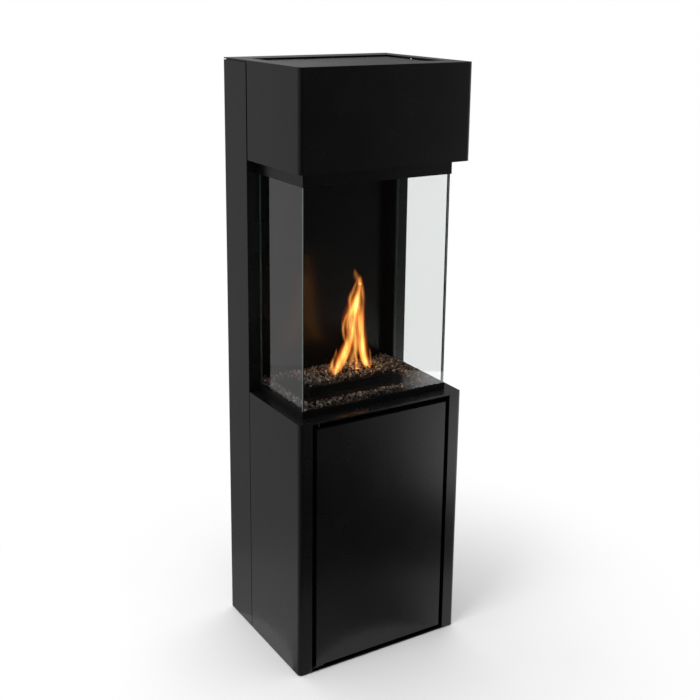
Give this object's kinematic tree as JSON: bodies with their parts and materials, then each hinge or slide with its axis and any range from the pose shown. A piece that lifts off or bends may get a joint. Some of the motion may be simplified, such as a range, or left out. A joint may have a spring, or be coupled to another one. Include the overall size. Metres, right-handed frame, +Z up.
{
  "type": "bioethanol fireplace",
  "caption": "Free-standing bioethanol fireplace: a glass firebox on three sides between a tall black hood and a cabinet with a door, carried by a rear column.",
  "frame": {"origin": "on the floor under the centre of the body's outline", "axes": "+Z up, front with the door faces -Y, +X to the right seen from the front"},
  "size_m": [0.5, 0.404, 1.585],
  "materials": {
    "casing_paint": "satin powder coat, near black",
    "frame_paint": "matt black powder coat",
    "inner_steel": "heat-resistant matt black paint",
    "deck_paint": "gloss black",
    "zinc_steel": "zinc plated",
    "clear_glass": "clear tempered glass with green edges",
    "seal_rubber": "matt black",
    "ceramic": "rough off-white fibre ceramic",
    "pebbles": "matt brown, grey and tan pebbles",
    "tank_plastic": "milky white",
    "black_plastic": "fine grain",
    "red_plastic": "semi matt"
  },
  "bodies": {
    "casing": {"bed_tray": "inner_steel", "burner_deck": "deck_paint", "burner_trough": "zinc_steel", "burner_wick": "ceramic", "cabinet_back": "frame_paint", "cabinet_bottom": "frame_paint", "cabinet_joint_plate": "inner_steel", "cabinet_left_shell": "casing_paint", "cabinet_right_shell": "casing_paint", "cabinet_shelf": "frame_paint", "cabinet_top": "casing_paint", "column_back": "casing_paint", "column_base": "inner_steel", "column_left_casing": "casing_paint", "column_right_casing": "casing_paint", "column_top_rail": "inner_steel", "control_box": "black_plastic", "ember_tray": "frame_paint", "firebox_back": "inner_steel", "firebox_surround": "inner_steel", "fuel_hose": "seal_rubber", "fuel_pump": "black_plastic", "fuel_tank": "tank_plastic", "glass_base_seal": "seal_rubber", "glass_inner_rail": "inner_steel", "glass_skirt": "frame_paint", "glide_front_left": "seal_rubber", "glide_front_right": "seal_rubber", "glide_rear_left": "seal_rubber", "glide_rear_right": "seal_rubber", "hearth_frame": "frame_paint", "hood_back": "inner_steel", "hood_baffle": "inner_steel", "hood_floor": "frame_paint", "hood_joint_plate": "inner_steel", "hood_shell": "casing_paint", "igniter": "ceramic", "left_pane": "clear_glass", "pebble_bed": "pebbles", "pebble_heap": "pebbles", "power_inlet": "black_plastic", "push_latch": "black_plastic", "rear_cover": "casing_paint", "rear_cover_screw_left": "zinc_steel", "rear_cover_screw_right": "zinc_steel", "right_pane": "clear_glass", "top_frame": "casing_paint", "top_plate": "casing_paint", "top_plate_strap_front": "frame_paint", "top_plate_strap_rear": "frame_paint"},
    "door": {"door_panel": "casing_paint", "door_inner_sheet": "frame_paint", "door_stiffener": "inner_steel", "door_pivot_top": "zinc_steel", "door_pivot_bottom": "zinc_steel"},
    "front_glass": {"front_pane": "clear_glass"},
    "latch": {"latch_plunger": "black_plastic"},
    "cap": {"tank_cap": "red_plastic"},
    "switch": {"power_switch": "red_plastic"},
    "button": {"start_button": "black_plastic"}
  },
  "joints": [
    {"name": "door_hinge", "type": "hinge", "parent": "casing", "child": "door", "pos_m": [-0.19, -0.192, 0.351], "axis": [0, 0, 1], "range_deg": [-110, 0]},
    {"name": "front_glass_lift", "type": "slide", "parent": "casing", "child": "front_glass", "axis": [0, 0, 1], "range_m": [0, 0.014]},
    {"name": "latch_travel", "type": "slide", "parent": "casing", "child": "latch", "axis": [0, 1, 0], "range_m": [0, 0.004], "stiffness_N_per_m": 300, "springref_m": -0.002},
    {"name": "cap_turn", "type": "hinge", "parent": "casing", "child": "cap", "pos_m": [-0.05, -0.07, 0.535], "axis": [0, 0, 1], "range_deg": [0, 360]},
    {"name": "switch_rock", "type": "hinge", "parent": "casing", "child": "switch", "pos_m": [-0.18, 0.028, 0.47], "axis": [1, 0, 0], "range_deg": [0, 16]},
    {"name": "button_travel", "type": "slide", "parent": "casing", "child": "button", "axis": [0, 1, 0], "range_m": [0, 0.003], "stiffness_N_per_m": 300, "springref_m": -0.002}
  ]
}
